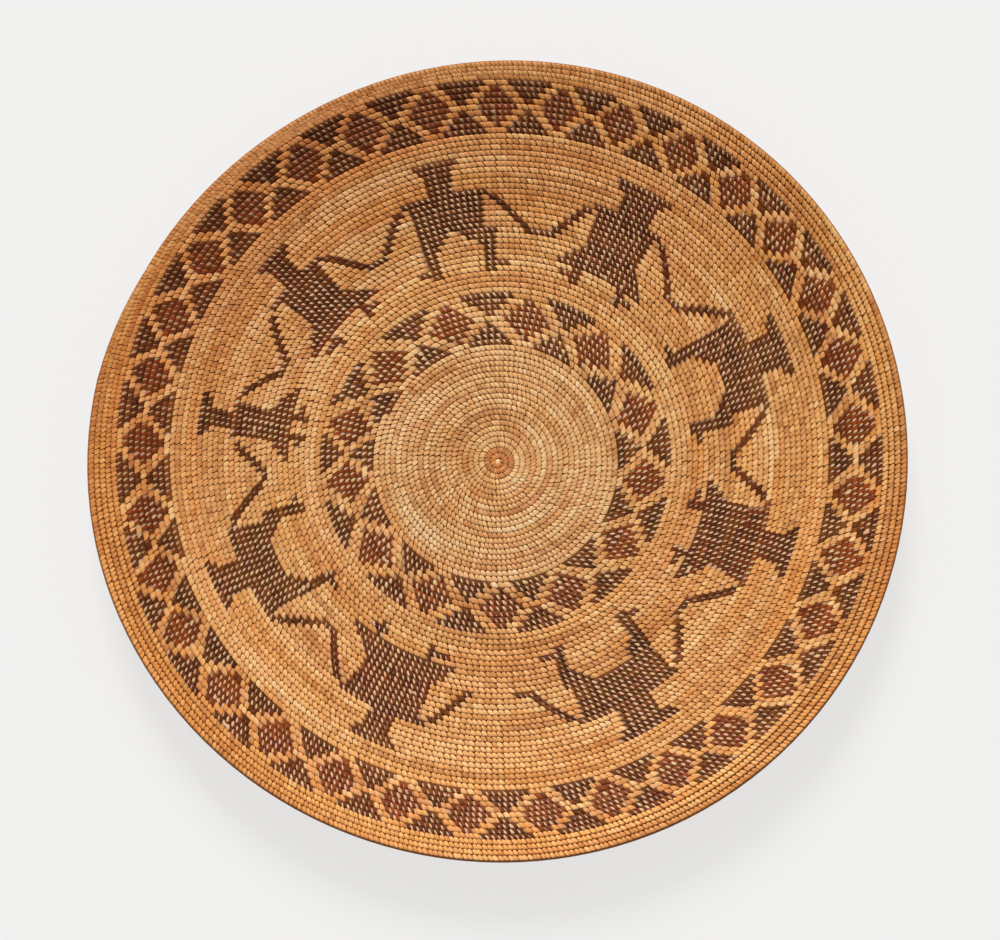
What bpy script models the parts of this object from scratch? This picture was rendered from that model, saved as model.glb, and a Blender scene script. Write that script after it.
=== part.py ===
"""Coiled gambling tray: a wide, shallow round basket sewn in tan, red and dark strands.

Metres, +Z up. The tray lies face up with its flat middle on z = 0 and its axis on Z.
A round is one turn of the coil, and places on the tray are given by their angle about the
axis and their count of rounds from the centre.
"""
import math

import bmesh
import bpy
from mathutils import Vector

# Driving sizes in metres
COIL_PITCH = 0.0047
COIL_THICKNESS = 0.0050
STRAND_THICKNESS = 0.0010
CARRIED_THICKNESS = 0.0003
CLEARANCE = 0.0003
CUT_OVERRUN = 0.010

# The wall leaves the flat middle level and has this slope at the rim
RIM_SLOPE_DEGREES = 18.5

# Rounds of coil in each zone, from the centre outwards
KNOT_ROUNDS = 2
MIDDLE_ROUNDS = 19.5
INNER_BAND_ROUNDS = 10
FIELD_ROUNDS = 28
OUTER_BAND_ROUNDS = 11
RIM_ROUNDS = 3.5

# Plain rounds between the edge of a zone and the pattern sewn in it
BAND_MARGIN_ROUNDS = 0.5
HEAD_MARGIN_ROUNDS = 3
FOOT_MARGIN_ROUNDS = 3.3

# Coloured strands are carried along under the tan ones from one motif to the next, in the
# space that the other motifs' tips leave free. They take a share of it, and a motif that they
# link starts a share of their thickness above the coil.
CARRIED_WIDTH_SHARE = 0.6
LINKED_LIFT_SHARE = 0.3

# Points closer than this share of the clearance are one point
MERGE_SHARE = 0.01

# Straight facets round the tray, round the knot and over the edge of the rim, and the angle
# of the first facet's edge, which keeps those edges off the motifs' corners
TURN_STEPS = 40
TURN_START_DEGREES = 3.3
KNOT_STEPS = 20
EDGE_STEPS = 2
FIELD_FACETS = 2

# Where each red diamond is centred, as an uneven hand spacing in degrees
INNER_DIAMOND_DEGREES = (
    20.5, 50.8, 79.7, 109.4, 138.8, 166.5, 187.7, 215.7, 243.2, 270.5, 297, 325.6, 352.9)
OUTER_DIAMOND_DEGREES = (
    5.1, 16.6, 27.6, 38.7, 49.1, 59.7, 70.5, 80.5, 90.6, 101.4, 112.6, 123.4, 134.8, 145.4,
    156.7, 166.8, 177.9, 189.6, 199.6, 209.3, 220.9, 232.1, 243.5, 254.2, 265.1, 276.8, 287.5,
    298.5, 309.1, 320.3, 332.1, 343.2, 353.5)

# Motif sizes as shares of the space between two diamonds, and of the band's height
DIAMOND_WIDTH_SHARE = 0.72
DIAMOND_HEIGHT_SHARE = 0.74
TRIANGLE_WIDTH_SHARE = 0.76
TRIANGLE_HEIGHT_SHARE = 0.42

# Figures sewn hand in hand round the field. Each has its kind, the degrees of its middle and
# of its two hands, and half its width in degrees at the head, neck, shoulders and hem.
FIGURES = (
    ("man", 22.3, 0.6, 43.0, (6.0, 3.6, 11.0, 11.6)),
    ("woman", 61.4, 43.0, 80.5, (5.6, 3.6, 7.6, 12.8)),
    ("man", 101.5, 80.5, 121.5, (4.3, 2.7, 9.4, 10.4)),
    ("woman", 138.2, 121.5, 156.5, (3.8, 2.2, 7.4, 12.4)),
    ("child", 170.6, 156.5, 184.0, (4.2, 1.8, 4.6, 10.0)),
    ("man", 204.2, 184.0, 224.5, (4.9, 3.1, 10.6, 11.6)),
    ("woman", 244.8, 224.5, 263.5, (4.7, 2.9, 9.8, 15.0)),
    ("man", 299.0, 274.0, 321.0, (6.1, 3.8, 11.8, 12.0)),
    ("woman", 342.4, 321.0, 360.6, (4.8, 3.0, 9.2, 14.4)),
)
HAND_GAP_DEGREES = 0.5
HAND_LENGTH_DEGREES = 2.6
ARMHOLE_DEGREES = 1.4
LEG_WIDTH_DEGREES = 2.8
FOOT_LENGTH_DEGREES = 3.0
WOMAN_LEG_SHARE = 0.62

# Heights on a figure in sewn rows, counted down from the top of the head
FIGURE_ROWS = 21.7
CHILD_SHORT_ROWS = 1.4
HEAD_BRIM_ROW = 1
NECK_ROW = 2.2
SHOULDER_ROW = 6
ARMPIT_ROW = 8.4
HAND_TOP_ROW = 13
HAND_ROW = 14
HIP_ROW = 13.6
SKIRT_ROW = 14
KNEE_ROW = 17
HEM_ROW = 18.3
FOOT_TOP_ROW = 19.4
FOOT_ROW = 20.5

# Colours as sRGB hex, and how rough each fibre is
TAN_ROOT = ("C8925A", 0.62)
RED_BARK = ("6B2F28", 0.55)
DARK_ROOT = ("40302A", 0.55)
GRASS_CORE = ("B59A68", 0.80)
KNOT_TAN = ("A9693A", 0.62)

FULL_TURN_DEGREES = 360

# Distances from the centre to the zones' edges, along the middle of the coil
KNOT_EDGE = KNOT_ROUNDS * COIL_PITCH
BASE_EDGE = KNOT_EDGE + MIDDLE_ROUNDS * COIL_PITCH
INNER_BAND_EDGE = BASE_EDGE + INNER_BAND_ROUNDS * COIL_PITCH
FIELD_EDGE = INNER_BAND_EDGE + FIELD_ROUNDS * COIL_PITCH
OUTER_BAND_EDGE = FIELD_EDGE + OUTER_BAND_ROUNDS * COIL_PITCH
RIM_EDGE = OUTER_BAND_EDGE + RIM_ROUNDS * COIL_PITCH

FACE_OFFSET = COIL_THICKNESS / 2
CORE_OFFSET = FACE_OFFSET - STRAND_THICKNESS - CLEARANCE
SKIN_OFFSET = CORE_OFFSET + CLEARANCE
LINKED_OFFSET = SKIN_OFFSET + CARRIED_THICKNESS * LINKED_LIFT_SHARE
CARRIED_OFFSET = SKIN_OFFSET + CARRIED_THICKNESS
COVER_OFFSET = CARRIED_OFFSET + CLEARANCE
EDGE_CENTRE = RIM_EDGE - FACE_OFFSET
WALL_BEND_RADIUS = (RIM_EDGE - BASE_EDGE) / math.radians(RIM_SLOPE_DEGREES)


def clear_scene():
    for item in list(bpy.data.objects):
        bpy.data.objects.remove(item)


def new_collection(name):
    collection = bpy.data.collections.new(name)
    bpy.context.scene.collection.children.link(collection)
    return collection


def linear_colour(hex_code):
    """The linear colour of an sRGB hex code."""
    channels = [int(hex_code[place:place + 2], 16) / 255 for place in (0, 2, 4)]
    return [c / 12.92 if c <= 0.04045 else ((c + 0.055) / 1.055) ** 2.4 for c in channels] + [1]


def fibre_material(name, finish):
    """A Principled material for one fibre."""
    hex_code, roughness = finish
    material = bpy.data.materials.new(name)
    material.use_nodes = True
    shader = material.node_tree.nodes["Principled BSDF"]
    shader.inputs["Base Color"].default_value = linear_colour(hex_code)
    shader.inputs["Roughness"].default_value = roughness
    shader.inputs["Metallic"].default_value = 0
    return material


def section_point(distance, offset):
    """Radius and height of a place on the tray's section.

    distance runs from the centre along the middle of the coil, and offset is measured square
    to the coil, towards the face. The wall is an arc that starts level at the base's edge.
    """
    bend = max(0, distance - BASE_EDGE) / WALL_BEND_RADIUS
    arc = WALL_BEND_RADIUS - offset
    radius = min(distance, BASE_EDGE) + arc * math.sin(bend)
    height = FACE_OFFSET + WALL_BEND_RADIUS - arc * math.cos(bend)
    return radius, height


def band_point(start, end, distance, offset):
    """A place on the straight facet that a band's section makes between its two edges."""
    share = (distance - start) / (end - start)
    first = section_point(start, offset)
    last = section_point(end, offset)
    return tuple(a + (b - a) * share for a, b in zip(first, last))


def facet_stations(start, end, facets):
    return [start + (end - start) * step / facets for step in range(facets + 1)]


def edge_arc(offset):
    """The coil's rounded outer edge, from its face side to its back."""
    turns = [math.pi / 2 - math.pi * step / EDGE_STEPS for step in range(EDGE_STEPS + 1)]
    return [section_point(EDGE_CENTRE + offset * math.cos(turn), offset * math.sin(turn))
            for turn in turns]


def turned_piece(name, profile, steps, closed, finish):
    """A solid turned about Z from a profile of radius and height points."""
    mesh = bpy.data.meshes.new(name)
    last = len(profile)
    edges = [(point, (point + 1) % last) for point in range(last if closed else last - 1)]
    mesh.from_pydata([(radius, 0, height) for radius, height in profile], edges, [])
    mesh.materials.append(fibre_material(name, finish))
    piece = bpy.data.objects.new(name, mesh)
    piece.rotation_euler.z = math.radians(TURN_START_DEGREES)
    TRAY.objects.link(piece)
    screw = piece.modifiers.new("turn", 'SCREW')
    screw.steps = steps
    screw.render_steps = steps
    screw.use_merge_vertices = True
    screw.merge_threshold = CLEARANCE * MERGE_SHARE
    screw.use_smooth_shade = True
    return piece


def skin_profile(stations, inner_offset, outer_offset):
    """Closed section of strands lying on the coil, with half a clearance left at each end."""
    trimmed = list(stations)
    trimmed[0] += CLEARANCE / 2
    trimmed[-1] -= CLEARANCE / 2
    top = [section_point(station, outer_offset) for station in trimmed]
    bottom = [section_point(station, inner_offset) for station in reversed(trimmed)]
    return top + bottom


def face_skin(name, stations, finish, inner_offset=SKIN_OFFSET):
    profile = skin_profile(stations, inner_offset, FACE_OFFSET)
    return turned_piece(name, profile, TURN_STEPS, True, finish)


def back_skin(name, stations, finish):
    profile = skin_profile(stations, -FACE_OFFSET, -SKIN_OFFSET)
    return turned_piece(name, profile, TURN_STEPS, True, finish)


def plan_point(degrees, rounds):
    """Plan position of a place, by its angle and its rounds from the centre."""
    radius, _ = section_point(rounds * COIL_PITCH, 0)
    angle = math.radians(degrees)
    return Vector((radius * math.cos(angle), radius * math.sin(angle)))


def plan_outline(places):
    """A motif's outline in plan, running anticlockwise."""
    points = [plan_point(degrees, rounds) for degrees, rounds in places]
    turning = sum(points[index - 1].cross(point) for index, point in enumerate(points))
    return points if turning > 0 else points[::-1]


def inset_outline(points, distance):
    """The outline moved inwards, with its corners kept sharp."""
    moved = []
    for index, corner in enumerate(points):
        before = (corner - points[index - 1]).normalized()
        after = (points[(index + 1) % len(points)] - corner).normalized()
        inward = Vector((-before.y - after.y, before.x + after.x))
        moved.append(corner + inward * distance / (1 + before.dot(after)))
    return moved


def drawn_outlines(name, outlines, half_height):
    """The outlines as one flat curve, filled and extruded both ways."""
    curve = bpy.data.curves.new(name, 'CURVE')
    curve.dimensions = '2D'
    curve.fill_mode = 'BOTH'
    curve.extrude = half_height
    for points in outlines:
        spline = curve.splines.new('POLY')
        spline.points.add(len(points) - 1)
        for place, point in zip(spline.points, points):
            place.co = (point.x, point.y, 0, 1)
        spline.use_cyclic_u = True
    return curve


def closed_mesh(drawn):
    """A curve object's mesh, with its caps welded on and its faces pointing out."""
    bpy.context.view_layer.update()
    evaluated = drawn.evaluated_get(bpy.context.evaluated_depsgraph_get())
    mesh = bpy.data.meshes.new_from_object(evaluated)
    shape = bmesh.new()
    shape.from_mesh(mesh)
    bmesh.ops.remove_doubles(shape, verts=shape.verts, dist=CLEARANCE * MERGE_SHARE)
    bmesh.ops.recalc_face_normals(shape, faces=shape.faces)
    shape.to_mesh(mesh)
    shape.free()
    return mesh


def mark_cutter(item):
    item.hide_render = True
    item.display_type = 'WIRE'
    CUTTERS.objects.link(item)


def outline_cutter(name, outlines):
    """Upright prisms over the outlines, tall enough to pass through the whole tray."""
    top = section_point(RIM_EDGE, FACE_OFFSET)[1]
    curve = drawn_outlines(name, outlines, top / 2 + CUT_OVERRUN)
    drawn = bpy.data.objects.new(name + "_drawn", curve)
    drawn.location.z = top / 2
    CUTTERS.objects.link(drawn)
    cutter = bpy.data.objects.new(name, closed_mesh(drawn))
    cutter.matrix_world = drawn.matrix_world
    bpy.data.objects.remove(drawn)
    bpy.data.curves.remove(curve)
    mark_cutter(cutter)
    return cutter


def combine(piece, other, operation):
    boolean = piece.modifiers.new(other.name, 'BOOLEAN')
    boolean.operation = operation
    boolean.solver = 'EXACT'
    boolean.object = other


def sewn_motif(name, stations, outlines, finish, inner_offset=SKIN_OFFSET):
    """Strands of one colour filling the outlines, a clearance inside the ground's openings."""
    piece = face_skin(name, stations, finish, inner_offset)
    shrunk = [inset_outline(points, CLEARANCE) for points in outlines]
    combine(piece, outline_cutter(name + "_outline", shrunk), 'INTERSECT')
    return piece


def carried_strands(name, band, first, last):
    """A flat ring of coloured strands under the tan ones, in the space between two rounds."""
    middle = (first + last) / 2 * COIL_PITCH
    reach = (last - first) / 2 * CARRIED_WIDTH_SHARE * COIL_PITCH
    profile = [
        band_point(*band, middle - reach, CARRIED_OFFSET),
        band_point(*band, middle + reach, CARRIED_OFFSET),
        band_point(*band, middle + reach, SKIN_OFFSET),
        band_point(*band, middle - reach, SKIN_OFFSET)]
    ring = turned_piece(name, profile, TURN_STEPS, True, DARK_ROOT)
    TRAY.objects.unlink(ring)
    mark_cutter(ring)
    return ring


def linked_motifs(name, band, outlines, space, finish):
    """The motifs of one colour in a band, linked by the strands carried under the ground."""
    piece = sewn_motif(name, band, outlines, finish, LINKED_OFFSET)
    combine(piece, carried_strands(name + "_carried", band, *space), 'UNION')


def diamond(middle, half_width, low, high):
    waist = (low + high) / 2
    half_height = (high - low) / 2 * DIAMOND_HEIGHT_SHARE
    return plan_outline((
        (middle - half_width, waist), (middle, waist - half_height),
        (middle + half_width, waist), (middle, waist + half_height)))


def triangle(middle, half_width, base, apex):
    """A triangle whose base bends with the round that it stands on."""
    return plan_outline((
        (middle - half_width, base), (middle, base), (middle + half_width, base), (middle, apex)))


def band_outlines(middles, low, high):
    """Diamonds round a band, and the triangles that stand between them on both edges."""
    diamonds, outer_triangles, inner_triangles = [], [], []
    triangle_height = (high - low) * TRIANGLE_HEIGHT_SHARE
    for index, middle in enumerate(middles):
        last = index + 1 == len(middles)
        following = middles[0] + FULL_TURN_DEGREES if last else middles[index + 1]
        previous = middles[index - 1] if index else middles[-1] - FULL_TURN_DEGREES
        own_space = min(following - middle, middle - previous)
        space = following - middle
        between = (middle + following) / 2
        half_base = space / 2 * TRIANGLE_WIDTH_SHARE
        diamonds.append(diamond(middle, own_space / 2 * DIAMOND_WIDTH_SHARE, low, high))
        outer_triangles.append(triangle(between, half_base, high, high - triangle_height))
        inner_triangles.append(triangle(between, half_base, low, low + triangle_height))
    return diamonds, outer_triangles, inner_triangles


def patterned_band(name, middles, start, end):
    """A band of tan strands with red diamonds and dark triangles sewn into it."""
    band = (start, end)
    low = start / COIL_PITCH + BAND_MARGIN_ROUNDS
    high = end / COIL_PITCH - BAND_MARGIN_ROUNDS
    diamonds, outer_triangles, inner_triangles = band_outlines(middles, low, high)
    ground = face_skin(name + "_tan_ground", band, TAN_ROOT, COVER_OFFSET)
    openings = diamonds + outer_triangles + inner_triangles
    combine(ground, outline_cutter(name + "_openings", openings), 'DIFFERENCE')
    tip_space = (high - low) / 2 * (1 - DIAMOND_HEIGHT_SHARE)
    apex_height = (high - low) * TRIANGLE_HEIGHT_SHARE
    waist_space = (low + apex_height, high - apex_height)
    linked_motifs(name + "_red_diamonds", band, diamonds, waist_space, RED_BARK)
    outer_space = (high - tip_space, high)
    linked_motifs(name + "_outer_triangles", band, outer_triangles, outer_space, DARK_ROOT)
    inner_space = (low, low + tip_space)
    linked_motifs(name + "_inner_triangles", band, inner_triangles, inner_space, DARK_ROOT)


def figure_side(kind, reach, widths):
    """One side of a figure, as degrees from its middle and rows down from its head's top."""
    head, neck, shoulder, hem = widths
    side = shoulder - ARMHOLE_DEGREES
    upper = [
        (head, 0), (head, HEAD_BRIM_ROW), (neck, NECK_ROW), (neck, SHOULDER_ROW),
        (shoulder, SHOULDER_ROW), (reach, HAND_TOP_ROW), (reach, HAND_ROW),
        (reach - HAND_LENGTH_DEGREES, HAND_ROW), (side, ARMPIT_ROW)]
    if kind == "man":
        outer_leg = hem
        fork = [(side, HIP_ROW), (outer_leg, SKIRT_ROW)]
        inner = [(outer_leg - LEG_WIDTH_DEGREES, KNEE_ROW), (neck, HIP_ROW)]
    else:
        outer_leg = hem * WOMAN_LEG_SHARE
        fork = [(side, SKIRT_ROW), (hem, HEM_ROW), (outer_leg, HEM_ROW)]
        inner = [(outer_leg - LEG_WIDTH_DEGREES, HEM_ROW)]
    toe = outer_leg + FOOT_LENGTH_DEGREES
    leg = [
        (outer_leg, FOOT_TOP_ROW), (toe, FOOT_TOP_ROW), (toe, FOOT_ROW), (outer_leg, FOOT_ROW),
        (outer_leg, FIGURE_ROWS), (outer_leg - LEG_WIDTH_DEGREES, FIGURE_ROWS)]
    return upper + fork + leg + inner


def figure_outline(kind, middle, first_hand, last_hand, widths):
    """A figure's whole outline in plan, its head towards the rim."""
    short = CHILD_SHORT_ROWS if kind == "child" else 0
    head_round = FIELD_EDGE / COIL_PITCH - HEAD_MARGIN_ROUNDS - short
    foot_round = INNER_BAND_EDGE / COIL_PITCH + FOOT_MARGIN_ROUNDS + short
    row_height = (head_round - foot_round) / FIGURE_ROWS
    last_side = figure_side(kind, last_hand - middle - HAND_GAP_DEGREES, widths)
    first_side = figure_side(kind, middle - first_hand - HAND_GAP_DEGREES, widths)
    places = [(middle + across, head_round - row * row_height) for across, row in last_side]
    places += [(middle - across, head_round - row * row_height)
               for across, row in reversed(first_side)]
    return plan_outline(places)


def figure_field():
    """The field of tan strands with the dark figures sewn into it."""
    stations = field_stations()
    outlines = [figure_outline(*figure) for figure in FIGURES]
    ground = face_skin("figure_field_tan_ground", stations, TAN_ROOT)
    combine(ground, outline_cutter("figure_openings", outlines), 'DIFFERENCE')
    for number, (figure, outline) in enumerate(zip(FIGURES, outlines), 1):
        sewn_motif(f"figure_{number}_{figure[0]}", stations, [outline], DARK_ROOT)


def field_stations():
    return facet_stations(INNER_BAND_EDGE, FIELD_EDGE, FIELD_FACETS)


def wall_stations():
    """Where the wall's facets meet, from the flat middle to the rim strands."""
    return [BASE_EDGE] + field_stations() + [OUTER_BAND_EDGE]


def foundation_ring(name, stations):
    profile = skin_profile(stations, -CORE_OFFSET, CORE_OFFSET)
    turned_piece(name, profile, TURN_STEPS, True, GRASS_CORE)


def foundation_rings():
    """The grass coil under the strands, as a ring for each straight facet of the wall."""
    foundation_ring("foundation_middle", (KNOT_EDGE, BASE_EDGE))
    foundation_ring("foundation_inner_band", (BASE_EDGE, INNER_BAND_EDGE))
    facets = field_stations()
    for number, edges in enumerate(zip(facets, facets[1:]), 1):
        foundation_ring(f"foundation_field_{number}", edges)
    stations = [FIELD_EDGE + CLEARANCE / 2, OUTER_BAND_EDGE]
    top = [section_point(station, CORE_OFFSET) for station in stations]
    bottom = [section_point(station, -CORE_OFFSET) for station in reversed(stations)]
    profile = top + edge_arc(CORE_OFFSET) + bottom
    turned_piece("foundation_outer_band", profile, TURN_STEPS, True, GRASS_CORE)


def start_knot():
    """The knot that the coil starts from, showing on both faces, just clear of the ground."""
    radius = KNOT_EDGE - CLEARANCE / 2
    softened = STRAND_THICKNESS / 2
    profile = [
        (0, COIL_THICKNESS), (radius - softened, COIL_THICKNESS),
        (radius, COIL_THICKNESS - softened), (radius, CLEARANCE + softened),
        (radius - softened, CLEARANCE), (0, CLEARANCE)]
    turned_piece("start_knot", profile, KNOT_STEPS, False, KNOT_TAN)


def rim_strands():
    """The last rounds of tan strands, which wrap the coil's outer edge."""
    start = OUTER_BAND_EDGE + CLEARANCE / 2
    outer = [section_point(start, FACE_OFFSET)] + edge_arc(FACE_OFFSET)
    outer.append(section_point(start, -FACE_OFFSET))
    inner = [section_point(start, SKIN_OFFSET)] + edge_arc(SKIN_OFFSET)
    inner.append(section_point(start, -SKIN_OFFSET))
    turned_piece("rim_strands", outer + inner[::-1], TURN_STEPS, True, TAN_ROOT)


def back_strands():
    """Tan strands on the back, the flat ones under the middle bearing on the ground."""
    back_skin("back_base_strands", (KNOT_EDGE, BASE_EDGE), TAN_ROOT)
    back_skin("back_wall_strands", wall_stations(), TAN_ROOT)


clear_scene()
TRAY = new_collection("gambling_tray")
CUTTERS = new_collection("cutters")
foundation_rings()
start_knot()
face_skin("middle_strands", (KNOT_EDGE, BASE_EDGE), TAN_ROOT)
patterned_band("inner_band", INNER_DIAMOND_DEGREES, BASE_EDGE, INNER_BAND_EDGE)
figure_field()
patterned_band("outer_band", OUTER_DIAMOND_DEGREES, FIELD_EDGE, OUTER_BAND_EDGE)
rim_strands()
back_strands()
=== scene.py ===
import colorsys
import functools
import math
from bisect import bisect_left
from collections import namedtuple

import bpy
import numpy as np
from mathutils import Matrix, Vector


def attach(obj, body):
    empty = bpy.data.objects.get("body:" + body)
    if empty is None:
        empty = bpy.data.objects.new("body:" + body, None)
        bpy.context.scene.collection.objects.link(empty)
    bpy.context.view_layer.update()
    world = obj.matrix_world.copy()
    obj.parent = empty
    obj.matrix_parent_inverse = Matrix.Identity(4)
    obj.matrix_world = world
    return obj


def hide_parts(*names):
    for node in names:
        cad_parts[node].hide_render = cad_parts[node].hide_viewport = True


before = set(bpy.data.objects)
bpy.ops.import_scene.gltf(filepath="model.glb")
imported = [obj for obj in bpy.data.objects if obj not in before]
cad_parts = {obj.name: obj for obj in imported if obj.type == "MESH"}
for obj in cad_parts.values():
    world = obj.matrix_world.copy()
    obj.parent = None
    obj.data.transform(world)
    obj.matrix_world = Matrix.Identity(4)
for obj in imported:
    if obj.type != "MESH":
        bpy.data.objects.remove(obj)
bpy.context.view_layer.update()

bl_info = {
    "name": "Coiled gambling tray",
    "version": (1, 0, 0),
    "blender": (4, 5, 0),
    "location": "3D View > Sidebar > Gambling tray",
    "description": "Sews a coiled basketry tray stitch by stitch over its packed solids",
    "category": "Object",
}

SEED = 74
FULL_TURN = 360.0
MILLIMETRES = 1000.0

# The tray's section, as in the solids: a flat middle, then a wall that bends up to the rim
COIL_THICKNESS = 0.0050
FACE_OFFSET = COIL_THICKNESS / 2
BASE_EDGE = 0.10105
RIM_EDGE = 0.3478
RIM_SLOPE_DEGREES = 18.5
WALL_BEND_RADIUS = (RIM_EDGE - BASE_EDGE) / math.radians(RIM_SLOPE_DEGREES)

# The coil runs outwards clockwise, and its turns are counted from the centre. A place on it is
# its turn, and these are the turns and distances from the centre between which the pitch is even.
START_DEGREES = 198.5
KNOT_TURN = 0.42
KNOT_END_TURN = 2.8
KNOT_HOLE = 0.0011
KNOT_RADIUS = 0.0034
KNOT_HEIGHT_SHARE = 0.94
KNOT_SIDES, KNOT_STEPS = 24, 14
KNOT_TONE = 0.75
MIDDLE_TURN, INNER_BAND_TURN, FIELD_TURN, OUTER_BAND_TURN, END_TURN = 21.6, 30.6, 59.5, 68.5, 73.15
TURNS = (0, MIDDLE_TURN, INNER_BAND_TURN, FIELD_TURN, OUTER_BAND_TURN, 75)
DISTANCES = (0, 0.1000, 0.14475, 0.2780, 0.3228, 0.3526)

# The coil tapers over this much of its last turn, to these shares of its size, and the bundle
# ends a little before the stitches
END_TAPER_TURNS = 0.07
STITCH_END_SHARE, BUNDLE_END_SHARE = 0.35, 0.2
BUNDLE_SHORTER_TURNS = 0.01

# Near the centre, lengths along the coil are counted as on a circle of this radius
SMALLEST_RADIUS = 0.002

# How far the rounds wander from true circles: at each distance, the cosine and sine parts that
# repeat once, twice and three times in a turn
WANDER_DISTANCES = (0, 0.100, 0.147, 0.280, 0.325, 0.3453)
WANDER = (
    (-0.00180, 0.00025, 0, 0, 0, 0),
    (-0.00233, 0.00095, -0.00020, 0.00025, -0.00025, -0.00009),
    (-0.00236, 0.00175, -0.00034, 0.00033, -0.00042, 0.00030),
    (-0.00121, 0.00269, -0.00217, 0.00040, -0.00079, 0.00065),
    (-0.00152, 0.00345, -0.00175, 0.00013, -0.00029, 0.00029),
    (0.00105, 0.00022, -0.00024, 0.00206, -0.00187, -0.00053),
)

# The coil starts off centre, so up to this distance its rounds are moved along themselves too
DRIFT_DISTANCE = 0.060

# Each pattern starts its rows at its own angle, where the coil steps out by one row. A band has
# the angles of its diamonds' middles and, for each row outwards, how much of the space between
# two diamonds its motif fills.
FIELD_START = 185.0
Band = namedtuple("Band", "first_row start middles inner_triangles diamonds outer_triangles")
INNER_BAND = Band(
    first_row=22, start=157.0,
    middles=(20.5, 50.8, 79.7, 109.4, 138.8, 166.5, 187.7, 215.7, 243.2, 270.5, 297.0, 325.6,
             352.9),
    inner_triangles=(0.67, 0.49, 0.28, 0.12), outer_triangles=(0.13, 0.29, 0.47, 0.61),
    diamonds=(0.13, 0.29, 0.46, 0.63, 0.46, 0.31, 0.13))
OUTER_BAND = Band(
    first_row=60, start=198.5,
    middles=(5.1, 16.6, 27.6, 38.7, 49.1, 59.7, 70.5, 80.5, 90.6, 101.4, 112.6, 123.4, 134.8,
             145.4, 156.7, 166.8, 177.9, 189.6, 199.6, 209.3, 220.9, 232.1, 243.5, 254.2, 265.1,
             276.8, 287.5, 298.5, 309.1, 320.3, 332.1, 343.2, 353.5),
    inner_triangles=(0.69, 0.51, 0.34, 0.14), outer_triangles=(0.15, 0.33, 0.48, 0.67),
    diamonds=(0.14, 0.32, 0.49, 0.60, 0.52, 0.34, 0.18))

# The rows of a band in which its diamonds and its outer triangles start
DIAMOND_FIRST_ROW = 1
OUTER_TRIANGLE_FIRST_ROW = 5

# Figures sewn hand in hand. Every pair is the first and last degree of a part, and an arm is
# the degrees of its shoulder, wrist and finger ends.
Figure = namedtuple("Figure", "name head neck shoulders torso hips hem legs feet arms")
FIGURES = (
    Figure("figure_1_man", (16.0, 28.7), (18.2, 25.6), (11.0, 33.8), (11.9, 32.0),
           ((9.2, 17.5), (25.2, 32.2)), None, ((8.5, 12.0), (29.1, 32.4)), (5.5, 35.4),
           ((11.5, 2.0, 0.6), (32.8, 41.0, 43.0))),
    Figure("figure_2_woman", (56.3, 67.7), (58.3, 65.5), (54.4, 70.1), (55.3, 69.0),
           (53.9, 70.0), (49.4, 74.8), ((53.8, 56.4), (67.0, 69.9)), (50.6, 73.7),
           ((54.7, 45.0, 43.0), (70.3, 77.6, 80.5))),
    Figure("figure_3_man", (98.1, 106.6), (99.7, 105.1), (92.8, 111.4), (93.7, 109.8),
           ((90.9, 100.5), (103.0, 110.0)), None, ((91.1, 94.2), (107.0, 110.6)), (87.6, 113.7),
           ((93.0, 83.2, 80.5), (111.4, 119.2, 121.5))),
    Figure("figure_4_woman", (134.6, 142.2), (136.1, 140.5), (130.9, 146.5),
           (132.4, 143.6), (131.0, 145.0), (125.2, 150.3), ((129.9, 132.1), (141.8, 144.2)),
           (126.7, 148.1), ((131.0, 123.8, 121.5), (146.8, 154.7, 156.5))),
    Figure("figure_5_child", (167.1, 175.8), (169.7, 173.3), (166.3, 175.6),
           (167.3, 174.6), (165.6, 175.2), (159.9, 180.5), ((166.8, 168.4), (172.6, 174.1)),
           (164.0, 176.5), ((166.0, 157.8, 156.5), (176.0, 182.6, 184.0))),
    Figure("figure_6_man", (200.0, 209.8), (201.7, 207.9), (194.3, 216.0), (194.9, 214.6),
           ((192.8, 199.3), (209.2, 215.4)), None, ((192.2, 194.8), (213.0, 215.5)),
           (189.5, 218.4), ((194.3, 186.2, 184.0), (216.0, 223.0, 224.5))),
    Figure("figure_7_woman", (241.2, 250.3), (242.9, 248.3), (235.0, 254.8),
           (236.3, 253.1), (234.6, 254.2), (228.7, 258.5), ((234.9, 237.3), (249.5, 251.8)),
           (231.8, 255.8), ((234.8, 226.4, 224.5), (254.8, 262.2, 263.9))),
    Figure("figure_8_man", (292.6, 304.7), (294.5, 302.0), (286.3, 309.5), (287.4, 308.8),
           ((285.8, 292.9), (302.6, 308.9)), None, ((285.4, 288.3), (306.0, 309.3)),
           (281.1, 312.4), ((286.3, 277.4, 273.0), (310.0, 318.4, 321.0))),
    Figure("figure_9_woman", (336.7, 346.6), (338.7, 344.7), (331.6, 351.3),
           (332.8, 349.4), (331.0, 350.7), (325.8, 354.9), ((332.1, 334.5), (346.0, 348.6)),
           (329.0, 352.0), ((331.4, 322.9, 321.0), (351.3, 358.3, 360.6))),
)

# The rows of the figures' parts, from the head near the rim to the feet. The child's upper
# parts lie one row lower.
HEAD_ROW, HEAD_ROWS, NECK_ROWS = 55, 2, 4
CHILD_LOWER_ROWS = 1
HAND_ROW, HIP_ROW, SKIRT_ROW, KNEE_ROW, HEM_ROW, FOOT_ROW, LAST_ROW = 42, 42, 41, 39, 38, 36, 35
HEAD_NARROWING_DEGREES = 0.8
ARM_WIDTH = 0.0078

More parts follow.
